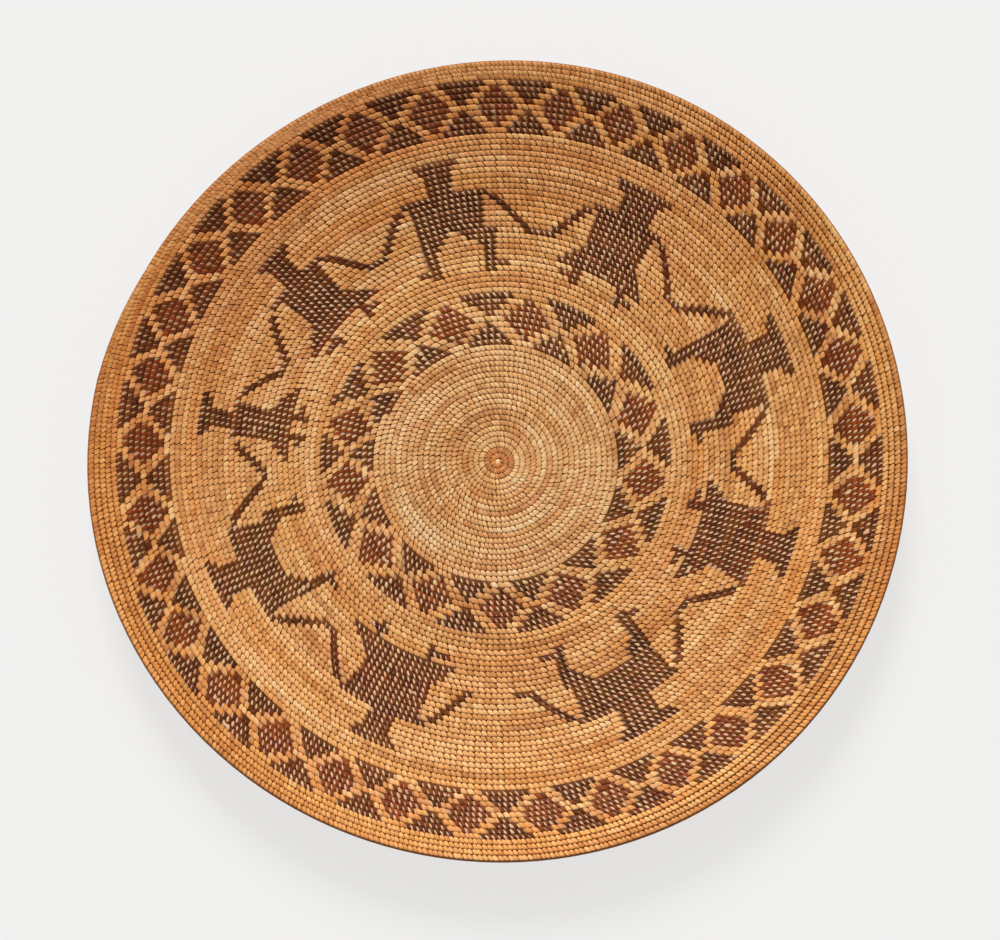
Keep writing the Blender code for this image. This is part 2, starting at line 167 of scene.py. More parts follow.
# Sewing. The slant is a share of the spacing. A loop's points are shares of the coil's pitch
# across it and of its half thickness square to it, from the bite on the face to the outer side,
# and they lead back the same way under the tray.
SPACING_DISTANCES = (0, 0.016, 0.030, 0.038, 0.080, 0.092, 0.105, 0.140, 0.270, 0.318, 0.327,
                     0.335)
TAN_SPACINGS = (0.0025, 0.0028, 0.0034, 0.0038, 0.0037, 0.0040, 0.0044, 0.0046, 0.0045, 0.0045,
                0.0041, 0.0038)
COLOURED_SPACING = 0.00505
SLANT_SHARE = 0.46
LOOP_ACROSS = (-0.80, -0.63, -0.45, -0.22, 0.19, 0.38, 0.49)
LOOP_HEIGHT = (0.32, 0.77, 0.92, 1.0, 0.99, 0.86, 0.20)
# How much painted seam shade each point of a loop carries: most at the bite and the outer side,
# where the strand dives
LOOP_SEAM_SHADE = (1.0, 0.5, 0, 0, 0, 0.2, 1.0)
TAN_LOOP_WIDTH = (0.28, 0.48, 0.84, 1.0, 1.0, 0.94, 0.58)
COLOURED_LOOP_WIDTH = (0.80, 1.15, 1.30, 1.10, 0.98, 1.10, 1.15)

# A strand's section stands out from an oval with this half width, also a share of the pitch
OVAL_HALF_WIDTH = 0.55

# A strand's section, from side to side: where its points are, how high they rise, how much of
# the painted seam shade they carry, and which of them keep a crisp line
STRAND_ACROSS = (-0.5, -0.42, 0, 0.42, 0.5)
STRAND_RISE = (0, 0.81, 1, 0.81, 0)
STRAND_SEAM_SHADE = (0.35, 0, 0, 0, 0.35)
STRAND_EDGES = (1, 3)
STRAND_THICKNESS = 0.0005

# Strands last for a number of stitches between these two
STITCHES_PER_STRAND = (12, 38)

# How uneven the hand's stitches are, in shares of their spacing, width, height and slant, and
# how narrow or wide a tan one is made to fill its place
TAN_UNEVENNESS, COLOURED_UNEVENNESS = 0.05, 0.03
WIDTH_UNEVENNESS, HEIGHT_UNEVENNESS, SLANT_UNEVENNESS = 0.03, 0.05, 0.12
NARROWEST_SHARE, WIDEST_SHARE = 0.75, 1.5

# How stitches find their places, with nearness as a share of their spacing. Coloured ones first
# move as a group. Each then goes most of the way into line with one of the round below, where
# that is near enough. The last few tan ones share out the room left over, and a gap too narrow
# for one is closed.
NEAR_SHARE = 0.3
PULL_SHARE = 0.6
GROUP_NEAR_SHARE = 0.5
GROUP_PULL_SHARE = 0.8
LAST_FEW = 8
LEAST_ROOM_SHARE = 0.3
TOUCHING_SHARE = 0.6

# The grass bundle inside the stitches, with its steps in a turn. It shows where the sewing is
# coloured, and fades in between these shares of it into a dark brown painted shade.
BUNDLE_STEPS = 136
BUNDLE_SIDES = 10
BUNDLE_SHARE = 0.58
BUNDLE_HALF_HEIGHT = 0.0022
TIGHT_HALF_HEIGHT = 0.0017
SHOWING_LIMITS = (0.25, 0.75)

# Tones, casts and blushes stray by strand, by stitch and in slow patches. These are a sum of
# waves, which repeat up to 6 times in a turn and are some 35 mm long across the coil.
TONE, BLUSH, HIGHEST_CAST = 0.5, 0.15, 1.2
TONE_BY_STRAND, TONE_BY_STITCH, TONE_BY_PATCH = 0.07, 0.1, 0.08
CAST_BY_STRAND, CAST_BY_STITCH, CAST_BY_PATCH = 0.08, 0.08, 0.1
BLUSH_BY_STRAND, BLUSH_BY_PATCH, BLUSH_OF_WOMEN = 0.12, 0.15, 0.3
PATCH_WAVES, PATCH_TIMES_BELOW, PATCH_LENGTH = 14, 7, 0.035

# The root's warm cast grows from the middle to the rim, which hands hold
CAST_DISTANCES = (0, 0.012, 0.030, 0.100, 0.115, 0.150, 0.250, 0.280, 0.320, 0.335)
CASTS = (0.9, 0.5, 0.25, 0.2, 0.45, 0.58, 0.6, 0.68, 0.76, 0.85)

# Painted shade: the outer tray is darker and redder on the side whose wall faces away from the
# lamp
SIDE_SHADE_DEGREES = 125
SIDE_SHADE_DISTANCES = (0.20, 0.30)
SIDE_SHADE_DARKENING, SIDE_SHADE_BLUSH = 0.08, 0.35

# Painted shade: a brown cast where strands meet and dive, for the shadow in these narrow gaps
PAINTED_SEAM_SHADE = (0.45, 0.24, 0.05)

# Streaks in a strand, for each point round its loop and each millimetre across it. Real fibres
# are about 0.1 mm wide, too fine to show, so streaks are drawn 0.9 mm apart. The pattern is
# moved on by a step from one strand to the next.
STREAKS = (0.15, 1.1, 1.0)
STREAK_DEPTH = 0.00025
STRAND_STEP = 7.0

# Stems in the bundle, for each millimetre along and across. Real ones are about 0.5 mm wide.
STEMS = (0.05, 2.0, 2.0)
STEM_DEPTH = 0.0003
STEM_HUES_PER_MILLIMETRE = 0.15
BUNDLE_RADIUS_MILLIMETRES = 2

# The map for baking: cells this many times as tall as wide, with a margin on every side
CELL_TALLNESS = 4
STITCH_MARGIN, BUNDLE_MARGIN = 0.08, 0.1

# The tan pieces, and the turns between which those of each zone share the coil
KNOT_PARTS = ("start_knot_strands",)
MIDDLE_PARTS = ("middle_stitches_inner", "middle_stitches_outer")
INNER_BAND_PARTS = ("inner_band_tan_stitches",)
FIELD_PARTS = tuple(f"field_tan_stitches_{part}" for part in range(1, 6))
OUTER_BAND_PARTS = ("outer_band_tan_stitches_inner", "outer_band_tan_stitches_outer")
RIM_PARTS = ("rim_stitches_inner", "rim_stitches_outer")
GROUND_PARTS = (
    (KNOT_PARTS, 0, KNOT_END_TURN), (MIDDLE_PARTS, 0, MIDDLE_TURN),
    (INNER_BAND_PARTS, MIDDLE_TURN, INNER_BAND_TURN), (FIELD_PARTS, INNER_BAND_TURN, FIELD_TURN),
    (OUTER_BAND_PARTS, FIELD_TURN, OUTER_BAND_TURN), (RIM_PARTS, OUTER_BAND_TURN, END_TURN))

# The stage: camera, key lamp, light from all round and floor
CAMERA_TARGET = (-0.0002, -0.0099, 0.020)
CAMERA_AZIMUTH_DEGREES, CAMERA_ELEVATION_DEGREES = -90, 78
CAMERA_DISTANCE = 3.3
CAMERA_LENS_MILLIMETRES = 142.3
KEY_AZIMUTH_DEGREES, KEY_ELEVATION_DEGREES = 98, 37
KEY_STRENGTH = 3.72
KEY_WIDTH_DEGREES = 24
KEY_DISTANCE = 3
WORLD_STRENGTH, WORLD_SEEN_STRENGTH = 0.28, 0.92
FLOOR_HALF_WIDTH = 6
FLOOR_GLOW_SHARE = 0.84

# Sockets of a Mix node that mixes colours, where several share a name
SHARE, FIRST, SECOND, MIXED = 0, 6, 7, 2


def linear(hex_code):
    """The linear colour of an sRGB hex code."""
    channels = [int(hex_code[place:place + 2], 16) / 255 for place in (0, 2, 4)]
    return [c / 12.92 if c <= 0.04045 else ((c + 0.055) / 1.055) ** 2.4 for c in channels]


# ---- the coil


def section_point(distance, offset):
    """Radius and height of places on the tray's section, by distance and offset from it."""
    bend = np.maximum(0, distance - BASE_EDGE) / WALL_BEND_RADIUS
    arc = WALL_BEND_RADIUS - offset
    radius = np.minimum(distance, BASE_EDGE) + arc * np.sin(bend)
    return radius, FACE_OFFSET + WALL_BEND_RADIUS - arc * np.cos(bend)


def coil_distance(turn):
    return np.interp(turn, TURNS, DISTANCES)


def coil_angle(turn):
    """The angle in radians at which a turn of the coil is, running clockwise."""
    return np.radians(START_DEGREES) - 2 * np.pi * turn


def coil_pitch(turn):
    return coil_distance(turn + 0.5) - coil_distance(turn - 0.5)


def wander(angle, distance):
    """How far out of round the coil is at an angle and a distance."""
    parts = [np.interp(distance, WANDER_DISTANCES, column) for column in zip(*WANDER)]
    waves = [wave(angle * times) for times in (1, 2, 3) for wave in (np.cos, np.sin)]
    return sum(part * wave for part, wave in zip(parts, waves))


def drift(angle, distance):
    """How far the first rounds are moved along themselves, as the coil's start is off centre."""
    aside, up = WANDER[0][:2]
    fading = np.maximum(0, 1 - distance / DRIFT_DISTANCE)
    return (up * np.cos(angle) - aside * np.sin(angle)) * fading


def row_turn(row, degrees, start):
    """The turn at which a pattern's row passes an angle."""
    clockwise = ((start - degrees) % FULL_TURN) / FULL_TURN
    late = ((START_DEGREES - start) % FULL_TURN) / FULL_TURN
    return row + clockwise + late


def coil_places(turn, across, height, along):
    """Places beside the coil: across it outwards, square to it and anticlockwise along it."""
    middle = coil_distance(turn)
    angle = coil_angle(turn)
    across = np.maximum(across, KNOT_HOLE - middle)
    radius, rise = section_point(middle + wander(angle, middle) + across, height)
    along = along + drift(angle, middle)
    return np.stack([radius * np.cos(angle) - along * np.sin(angle),
                     radius * np.sin(angle) + along * np.cos(angle), rise], axis=-1)


# ---- the pattern


def band_stretches(band):
    """Every stretch of coloured stitches in a band, as its kind, row and two angles."""
    stretches = []
    middles = band.middles
    for previous, middle, following in zip(
            middles[-1:] + middles, middles, middles[1:] + middles[:1]):
        space = (following - middle) % FULL_TURN
        before = (middle - previous) % FULL_TURN
        gap = middle + space / 2
        for kind, centre, room, first, shares in (
                ("inner_triangles", gap, space, 0, band.inner_triangles),
                ("red_diamonds", middle, (space + before) / 2, DIAMOND_FIRST_ROW, band.diamonds),
                ("outer_triangles", gap, space, OUTER_TRIANGLE_FIRST_ROW, band.outer_triangles)):
            for step, share in enumerate(shares):
                half = room * share / 2
                row = band.first_row + first + step
                stretches.append((kind, row, centre - half, centre + half))
    return stretches


def between(first, last, share):
    """A pair of angles part of the way from one pair to another."""
    return tuple(a + (b - a) * share for a, b in zip(first, last))


def arm_stretches(figure, top):
    """The arms, from the row at the top: slanting rows, then a hand along one row."""
    stretches = []
    for shoulder, wrist, fingers in figure.arms:
        side = 1 if fingers > shoulder else -1
        for row in range(HAND_ROW + 1, top):
            share = (top - row) / (top - HAND_ROW)
            middle = shoulder + (wrist - shoulder) * share
            radius, _ = section_point(coil_distance(row + 0.5), 0)
            half = math.degrees(ARM_WIDTH / radius) / 2
            stretches.append((row, middle - half, middle + half))
        inner = wrist - side * half
        stretches.append((HAND_ROW, min(inner, fingers), max(inner, fingers)))
    return stretches


def figure_stretches(figure):
    """Every stretch of dark stitches in a figure, as its row and two angles."""
    head_row = HEAD_ROW - CHILD_LOWER_ROWS * ("child" in figure.name)
    shoulder_row = head_row - HEAD_ROWS - NECK_ROWS
    narrow = HEAD_NARROWING_DEGREES
    stretches = [(head_row, *figure.head),
                 (head_row - 1, figure.head[0] + narrow, figure.head[1] - narrow)]
    stretches += [(row, *figure.neck) for row in range(shoulder_row + 1, head_row - 1)]
    stretches.append((shoulder_row, *figure.shoulders))
    waist = HIP_ROW if "_man" in figure.name else SKIRT_ROW
    stretches += [(row, *figure.torso) for row in range(waist + 1, shoulder_row)]
    if "_man" in figure.name:
        for hip, leg in zip(figure.hips, figure.legs):
            for row in range(LAST_ROW, HIP_ROW + 1):
                share = min(1, (HIP_ROW - row) / (HIP_ROW - KNEE_ROW))
                stretches.append((row, *between(hip, leg, share)))
    else:
        for row in range(HEM_ROW, SKIRT_ROW + 1):
            share = (SKIRT_ROW - row) / (SKIRT_ROW - HEM_ROW)
            stretches.append((row, *between(figure.hips, figure.hem, share)))
        for leg in figure.legs:
            stretches += [(row, *leg) for row in range(LAST_ROW, HEM_ROW)]
    stretches += [(FOOT_ROW, figure.feet[0], figure.legs[0][0]),
                  (FOOT_ROW, figure.legs[1][1], figure.feet[1])]
    return stretches + arm_stretches(figure, shoulder_row)


def turn_stretches(stretches, start):
    """The same stretches by their first and last turns, cut where the pattern's rows start."""
    cut = []
    for name, row, first, last in stretches:
        begin, end = row_turn(row, last, start), row_turn(row, first, start)
        if begin < end:
            cut.append((begin, end, name))
        else:
            cut.append((row_turn(row, start, start), end, name))
            cut.append((begin, row_turn(row + 1, start, start), name))
    return cut


def coloured_stretches():
    """Every stretch of coloured stitches in sewing order, as first turn, last turn and piece."""
    found = []
    for prefix, band in (("inner_band_", INNER_BAND), ("outer_band_", OUTER_BAND)):
        found += turn_stretches([(prefix + kind, *rest) for kind, *rest in band_stretches(band)],
                                band.start)
    for figure in FIGURES:
        found += turn_stretches([(figure.name, *rest) for rest in figure_stretches(figure)],
                                FIELD_START)
    joined = []
    for first, last, name in sorted(found):
        nearest = TOUCHING_SHARE * turns_of(COLOURED_SPACING, first)
        touching = joined and first - joined[-1][1] < nearest
        if touching and joined[-1][2] == name:
            joined[-1][1] = max(joined[-1][1], last)
        elif touching:
            joined.append([joined[-1][1], max(last, joined[-1][1]), name])
        else:
            joined.append([first, last, name])
    return joined


def ground_piece(turn):
    """The tan piece that a turn of the coil belongs to."""
    for parts, first, last in GROUND_PARTS:
        if turn < last:
            break
    share = (turn ** 2 - first ** 2) / (last ** 2 - first ** 2)
    return parts[min(len(parts) - 1, int(share * len(parts)))]


def tan_spacing(turn):
    return np.interp(coil_distance(turn), SPACING_DISTANCES, TAN_SPACINGS)


def turns_of(length, turn):
    """How much of a turn a length along the coil is."""
    radius, _ = section_point(coil_distance(turn), 0)
    return length / (2 * np.pi * np.maximum(radius, SMALLEST_RADIUS))


def place_above(turns, place):
    """Where a stitch would stand straight above the nearest one of the round below."""
    index = bisect_left(turns, place - 1)
    near = turns[max(0, index - 1):index + 1]
    return min((turn + 1 for turn in near), key=lambda turn: abs(turn - place), default=place)


def steps_aside(turns, places):
    """How far each place is from standing straight above a stitch of the round below."""
    return np.array([place_above(turns, place) - place for place in places])


def sew_ground(turns, first, last, random):
    """Fill the coil between two places with tan stitches, in line with the round below."""
    step = turns_of(tan_spacing(first), first)
    place = first - step / 2
    start = len(turns)
    while place + step < last - step * LEAST_ROOM_SHARE:
        place += step
        off = place_above(turns, place) - place
        if abs(off) < step * NEAR_SHARE:
            place += off * PULL_SHARE
        turns.append(place + random.normal() * step * TAN_UNEVENNESS)
        step = turns_of(tan_spacing(place), place)
    few = min(len(turns) - start, LAST_FEW)
    if few:
        spare = last - step / 2 - turns[-1]
        for number in range(few):
            turns[number - few] += spare * (number + 0.5) / few


def sew_colour(turns, first, last, random):
    """One stretch of coloured stitches, moved together and singly into line with those below."""
    count = max(1, round((last - first) / turns_of(COLOURED_SPACING, first)))
    step = (last - first) / count
    places = first + (np.arange(count) + 0.5) * step
    off = steps_aside(turns, places) / step
    near = off[np.abs(off) < GROUP_NEAR_SHARE]
    if len(near):
        usual = np.angle(np.exp(2j * np.pi * near).mean()) / (2 * np.pi)
        places += usual * step * GROUP_PULL_SHARE
    off = steps_aside(turns, places)
    places += np.where(np.abs(off) < step * NEAR_SHARE, off * PULL_SHARE, 0)
    turns += list(places + random.normal(0, COLOURED_UNEVENNESS, count) * step)


@functools.lru_cache(maxsize=1)
def sewn_coil():
    """Every stitch in sewing order: turns, and the names of the pieces they belong to."""
    random = np.random.default_rng(SEED)
    turns, pieces = [], []
    edge = KNOT_TURN
    for first, last, name in coloured_stretches() + [[END_TURN, END_TURN, None]]:
        sew_ground(turns, edge, first, random)
        pieces += [ground_piece(turn) for turn in turns[len(pieces):]]
        if name and last > first:
            sew_colour(turns, first, last, random)
            pieces += [name] * (len(turns) - len(pieces))
        edge = last
    return np.array(turns), np.array(pieces)


# ---- stitches as meshes


def strand_runs(count, random):
    """Which sewing strand each stitch belongs to, in runs as long as a strand lasts."""
    runs = np.zeros(count, int)
    place = strand = 0
    while place < count:
        length = random.integers(*STITCHES_PER_STRAND)
        runs[place:place + length] = strand
        place += length
        strand += 1
    return runs


def patches(turns, random):
    """Slow changes of tone over the tray, longer along the coil than across it."""
    angles, distances = coil_angle(turns), coil_distance(turns)
    tone = np.zeros(len(turns))
    for _ in range(PATCH_WAVES):
        times = random.integers(0, PATCH_TIMES_BELOW)
        across = random.normal(0, 1) * 2 * np.pi / PATCH_LENGTH
        starts = random.uniform(0, 2 * np.pi, 2)
        tone += np.cos(angles * times + starts[0]) * np.cos(distances * across + starts[1])
    return tone / 2


def side_shade_share(turns):
    """How much painted shade a place gets on the tray's darker side, from 0 to 1."""
    side = np.maximum(0, np.cos(coil_angle(turns) - math.radians(SIDE_SHADE_DEGREES)))
    return side * np.interp(coil_distance(turns), SIDE_SHADE_DISTANCES, (0, 1))


@functools.lru_cache(maxsize=1)
def stitch_table():
    """For all stitches: turns, piece names, strand numbers, tones, casts and blushes."""
    turns, pieces = sewn_coil()
    random = np.random.default_rng(SEED + 1)
    count = len(turns)
    runs = strand_runs(count, random)
    strands = runs[-1] + 1
    tones = random.normal(TONE, TONE_BY_STRAND, strands)[runs]
    tones += random.normal(0, TONE_BY_STITCH, count)
    tones += patches(turns, random) * TONE_BY_PATCH
    # Painted shade on one side of the outer tray: darker, and redder through the blush below
    aged = side_shade_share(turns)
    tones -= aged * SIDE_SHADE_DARKENING
    casts = np.interp(coil_distance(turns), CAST_DISTANCES, CASTS)
    casts += random.normal(0, CAST_BY_STRAND, strands)[runs]
    casts += random.normal(0, CAST_BY_STITCH, count)
    casts += patches(turns, random) * CAST_BY_PATCH
    blushes = random.normal(BLUSH, BLUSH_BY_STRAND, strands)[runs]
    blushes += patches(turns, random) * BLUSH_BY_PATCH
    blushes += aged * SIDE_SHADE_BLUSH + (np.char.find(pieces, "woman") > 0) * BLUSH_OF_WOMEN
    return (turns, pieces, runs, np.clip(tones, 0, 1), np.clip(casts, 0, HIGHEST_CAST),
            np.clip(blushes, 0, 1))


def stitch_places(turns, widths, slants, width_shares, random):
    """Vertex places of closed loops of strand, by stitch, point round the loop and strand side."""
    across = np.array(LOOP_ACROSS + LOOP_ACROSS[::-1])
    height = np.array(LOOP_HEIGHT + tuple(-share for share in LOOP_HEIGHT[::-1]))
    width = np.array(width_shares + width_shares[::-1])
    count = len(turns)
    taper = np.clip((END_TURN - turns) / END_TAPER_TURNS, STITCH_END_SHARE, 1)[:, None]
    pitch = coil_pitch(turns)[:, None]
    spread = across * pitch * taper - (1 - taper) * pitch / 2
    lower = np.abs(random.normal(0, HEIGHT_UNEVENNESS, (count, 1)))
    lift = height * FACE_OFFSET * taper * (1 - lower)
    slant = across * slants[:, None] * (1 + random.normal(0, SLANT_UNEVENNESS, (count, 1)))
    outwards = across / OVAL_HALF_WIDTH
    length = np.hypot(outwards, height)
    out = (np.array(STRAND_RISE) - 1) * STRAND_THICKNESS
    sideways = widths[:, None, None] * width[:, None] * np.array(STRAND_ACROSS)
    return coil_places(
        turns[:, None, None],
        spread[:, :, None] + (outwards / length)[:, None] * out,
        lift[:, :, None] + (height / length)[:, None] * out,
        slant[:, :, None] + sideways)


def loop_faces(count, points, sides):
    """The faces' four corners and map places, with one upright cell of the map for each stitch.

    A loop is closed round but open at its sides.
    """
    stitch, point, side = np.meshgrid(
        np.arange(count), np.arange(points), np.arange(sides - 1), indexing="ij")
    columns = max(1, math.ceil(math.sqrt(count * CELL_TALLNESS)))
    rows = math.ceil(count / columns)
    used = 1 - 2 * STITCH_MARGIN
    corners, cells = [], []
    for beside, ahead in ((0, 0), (1, 0), (1, 1), (0, 1)):
        across, along = side + beside, point + ahead
        corners.append((stitch * points + along % points) * sides + across)
        cells.append(np.stack([
            (stitch % columns + STITCH_MARGIN + used * across / (sides - 1)) / columns,
            (stitch // columns + STITCH_MARGIN + used * along / points) / rows], axis=-1))
    return corners, cells


def add_facts(mesh, facts):
    """Numbers and vectors for the mesh's vertices, as attributes."""
    for fact, values in facts.items():
        vectors = values.size > len(mesh.vertices)
        kind, slot = ('FLOAT_VECTOR', "vector") if vectors else ('FLOAT', "value")
        attribute = mesh.attributes.new(fact, kind, 'POINT')
        attribute.data.foreach_set(slot, values.astype(np.float32).ravel())


def add_object(name, data):
    """The data as an object of the scene."""
    item = bpy.data.objects.new(name, data)
    bpy.context.scene.collection.objects.link(item)
    return item


def array_mesh(name, places, corners, cells, facts, sides=0):
    """A smooth mesh of quads, with its map for baking and its facts as attributes.

    Strands, with their number of vertices across, keep a crisp line along each side.
    """
    quads = np.stack(corners, axis=-1)
    mesh = bpy.data.meshes.new(name)
    mesh.vertices.add(places.size // 3)
    mesh.vertices.foreach_set("co", places.astype(np.float32).ravel())
    mesh.loops.add(quads.size)
    mesh.loops.foreach_set("vertex_index", quads.astype(np.int32).ravel())
    mesh.polygons.add(quads.size // 4)
    mesh.polygons.foreach_set("loop_start", np.arange(0, quads.size, 4, dtype=np.int32))
    mesh.update(calc_edges=True)
    mesh.shade_smooth()
    if sides:
        ends = np.empty(len(mesh.edges) * 2, np.int32)
        mesh.edges.foreach_get("vertices", ends)
        ends = ends.reshape(-1, 2) % sides
        sharp = (ends[:, 0] == ends[:, 1]) & np.isin(ends[:, 0], STRAND_EDGES)
        mesh.attributes.new("sharp_edge", 'BOOLEAN', 'EDGE').data.foreach_set("value", sharp)
    layer = mesh.uv_layers.new(name="OFBake")
    layer.data.foreach_set("uv", np.stack(cells, axis=-2).astype(np.float32).ravel())
    add_facts(mesh, facts)
    return mesh


def show(name, mesh, material, nodes):
    """The mesh as a piece that rides on the tray and stands for its solids."""
    mesh.materials.append(material)
    piece = add_object(name, mesh)
    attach(piece, "root")
    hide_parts(*nodes)


def sew_piece(name, material, slot, nodes, cover, width_shares=TAN_LOOP_WIDTH):
    """One piece of the sewing: all stitches of its name, as loops round the coil."""
    turns, pieces, runs, tones, casts, blushes = stitch_table()
    chosen = pieces == name
    count = int(chosen.sum())
    if not count:
        raise RuntimeError(f"no stitch belongs to {name}")
    random = np.random.default_rng(SEED + sum(map(ord, name)))
    usual = COLOURED_SPACING
    if slot in ("tan_root", "knot"):
        usual = tan_spacing(turns[chosen])
        spacing = np.gradient(turns)[chosen] / turns_of(1.0, turns[chosen])
        usual = np.clip(spacing, usual * NARROWEST_SHARE, usual * WIDEST_SHARE)
    widths = usual * cover * (1 + random.normal(0, WIDTH_UNEVENNESS, count))
    slants = usual * SLANT_SHARE * np.ones(count)
    places = stitch_places(turns[chosen], widths, slants, width_shares, random)
    points, sides = places.shape[1:3]
    along = np.arange(points)[:, None] * 1.0
    side = np.array(STRAND_ACROSS) * (widths * MILLIMETRES)[:, None, None]
    step = runs[chosen][:, None, None] * STRAND_STEP
    # Painted seam shade of every vertex, by its place round the loop and across the strand
    seam = np.clip(np.array(LOOP_SEAM_SHADE + LOOP_SEAM_SHADE[::-1])[:, None] + np.array(STRAND_SEAM_SHADE), 0, 1)
    facts = {"fibre": np.stack(np.broadcast_arrays(along, side, step), axis=-1),
             "seam": np.broadcast_to(seam, places.shape[:3])}
    for fact, values in (("tone", tones), ("cast", casts), ("blush", blushes)):
        facts[fact] = np.repeat(values[chosen], points * sides)
    mesh = array_mesh(name, places, *loop_faces(count, points, sides), facts, sides)
    show(name, mesh, material, nodes)


def coloured_share(turns):
    """How much of the sewing near a turn is coloured, from 0 to 1, fading over half a stitch."""
    sewn, pieces = sewn_coil()
    coloured = np.char.find(pieces, "stitches") < 0
    coloured &= np.char.find(pieces, "knot") < 0
    return np.interp(np.interp(turns, sewn, coloured.astype(float)), SHOWING_LIMITS, (0, 1))


def grass_bundle(name, material, nodes):
    """The bundle of grass stems that the stitches wrap, as one long coiled tube."""
    turns = np.arange(0, END_TURN - BUNDLE_SHORTER_TURNS, 1 / BUNDLE_STEPS)
    around = np.arange(BUNDLE_SIDES) * 2 * np.pi / BUNDLE_SIDES
    taper = np.clip((END_TURN - turns) / END_TAPER_TURNS, BUNDLE_END_SHARE, 1)[:, None]
    pitch = coil_pitch(turns)[:, None]
    showing = coloured_share(turns)[:, None]
    across = np.cos(around) * pitch * BUNDLE_SHARE * taper - (1 - taper) * pitch / 2
    height = np.sin(around) * taper * (TIGHT_HALF_HEIGHT
                                       + (BUNDLE_HALF_HEIGHT - TIGHT_HALF_HEIGHT) * showing)
    places = coil_places(turns[:, None], across, height, 0)
    step, side = np.meshgrid(np.arange(len(turns) - 1), np.arange(BUNDLE_SIDES), indexing="ij")
    rows = math.ceil(END_TURN)
    row, column = np.divmod(step, BUNDLE_STEPS)
    used = 1 - 2 * BUNDLE_MARGIN
    corners, cells = [], []
    for ahead, beside in ((0, 0), (0, 1), (1, 1), (1, 0)):
        corners.append((step + ahead) * BUNDLE_SIDES + (side + beside) % BUNDLE_SIDES)
        cells.append(np.stack([
            (column + ahead) / BUNDLE_STEPS,
            (row + BUNDLE_MARGIN + used * (side + beside) / BUNDLE_SIDES) / rows], axis=-1))
    length = np.cumsum(2 * np.pi * coil_distance(turns) / BUNDLE_STEPS) * MILLIMETRES
    fibre = np.broadcast_arrays(length[:, None], np.sin(around) * BUNDLE_RADIUS_MILLIMETRES,
                                np.cos(around) * BUNDLE_RADIUS_MILLIMETRES)
    # Painted side shade turns the pale stems greyer on one side
    facts = {"fibre": np.stack(fibre, axis=-1), "showing": np.broadcast_to(showing, across.shape),
             "aged": np.broadcast_to(side_shade_share(turns)[:, None], across.shape)}
    mesh = array_mesh(name, places, corners, cells, facts)
    show(name, mesh, material, nodes)


def knot_core(name, material, nodes):
    """The little ball of wrapped root that the coil starts round."""
    around = np.arange(KNOT_SIDES) * 2 * np.pi / KNOT_SIDES
    down = np.arange(1, KNOT_STEPS)[:, None] * np.pi / KNOT_STEPS
    ball = np.stack(np.broadcast_arrays(
        np.sin(down) * np.cos(around), np.sin(down) * np.sin(around), np.cos(down)), axis=-1)
    ball = np.concatenate([ball.reshape(-1, 3), [[0, 0, 1], [0, 0, -1]]])
    size = (KNOT_RADIUS, KNOT_RADIUS, FACE_OFFSET * KNOT_HEIGHT_SHARE)
    places = ball * size + (*WANDER[0][:2], FACE_OFFSET)
    top = len(ball) - 2
    rings = [[top] * KNOT_SIDES, *np.arange(top).reshape(-1, KNOT_SIDES).tolist(),
             [top + 1] * KNOT_SIDES]
    faces = [list(dict.fromkeys((upper[side - 1], lower[side - 1], lower[side], upper[side])))
             for upper, lower in zip(rings, rings[1:]) for side in range(KNOT_SIDES)]
    mesh = bpy.data.meshes.new(name)
    mesh.from_pydata(places.tolist(), [], faces)
    mesh.shade_smooth()
    add_facts(mesh, {"fibre": places * MILLIMETRES, "tone": np.full(len(places), KNOT_TONE)})
    show(name, mesh, material, nodes)


# ---- materials


def add_node(tree, kind, inputs=None, **settings):
    """One node, with its settings, and its inputs from values or from other nodes' sockets."""
    node = tree.nodes.new(kind)
    for setting, value in settings.items():
        setattr(node, setting, value)
    for socket, value in (inputs or {}).items():
        if isinstance(value, bpy.types.NodeSocket):
            tree.links.new(value, node.inputs[socket])
        else:
            node.inputs[socket].default_value = value
    return node


def new_material(name):
    """A new material, its tree of nodes and its shader."""
    material = bpy.data.materials.new(name)
    material.use_nodes = True
    return material, material.node_tree, material.node_tree.nodes["Principled BSDF"]


def colour_of(colour):
    """The colour as a socket takes it, opaque."""
    return [*colour, 1.0]


def fibre_noise(tree, stretch, detail):
    """Uneven values along the fibres, from the mesh's own lengths times a stretch."""
    fibre = add_node(tree, "ShaderNodeAttribute", attribute_name="fibre").outputs["Vector"]
    stretched = add_node(tree, "ShaderNodeVectorMath", {0: fibre, 1: stretch},
                         operation='MULTIPLY').outputs[0]
    return add_node(tree, "ShaderNodeTexNoise",
                    {"Vector": stretched, "Scale": 1.0, **detail}).outputs["Fac"]


def times_share(tree, colour, fact, cast):
    """The colour multiplied with a cast where a fact of the mesh is full."""
    share = add_node(tree, "ShaderNodeAttribute", attribute_name=fact).outputs["Fac"]
    return add_node(tree, "ShaderNodeMix", {
        SHARE: share, FIRST: colour, SECOND: colour_of(cast)},
        data_type='RGBA', blend_type='MULTIPLY').outputs[MIXED]


def surface(tree, shader, colour, roughness, height, strength, depth):
    """The shader's colour and roughness, with ridges and furrows that follow a pattern."""
    tree.links.new(colour, shader.inputs["Base Color"])
    shader.inputs["Roughness"].default_value = roughness
    bump = add_node(tree, "ShaderNodeBump", {
        "Height": height, "Strength": strength, "Distance": depth})
    tree.links.new(bump.outputs["Normal"], shader.inputs["Normal"])


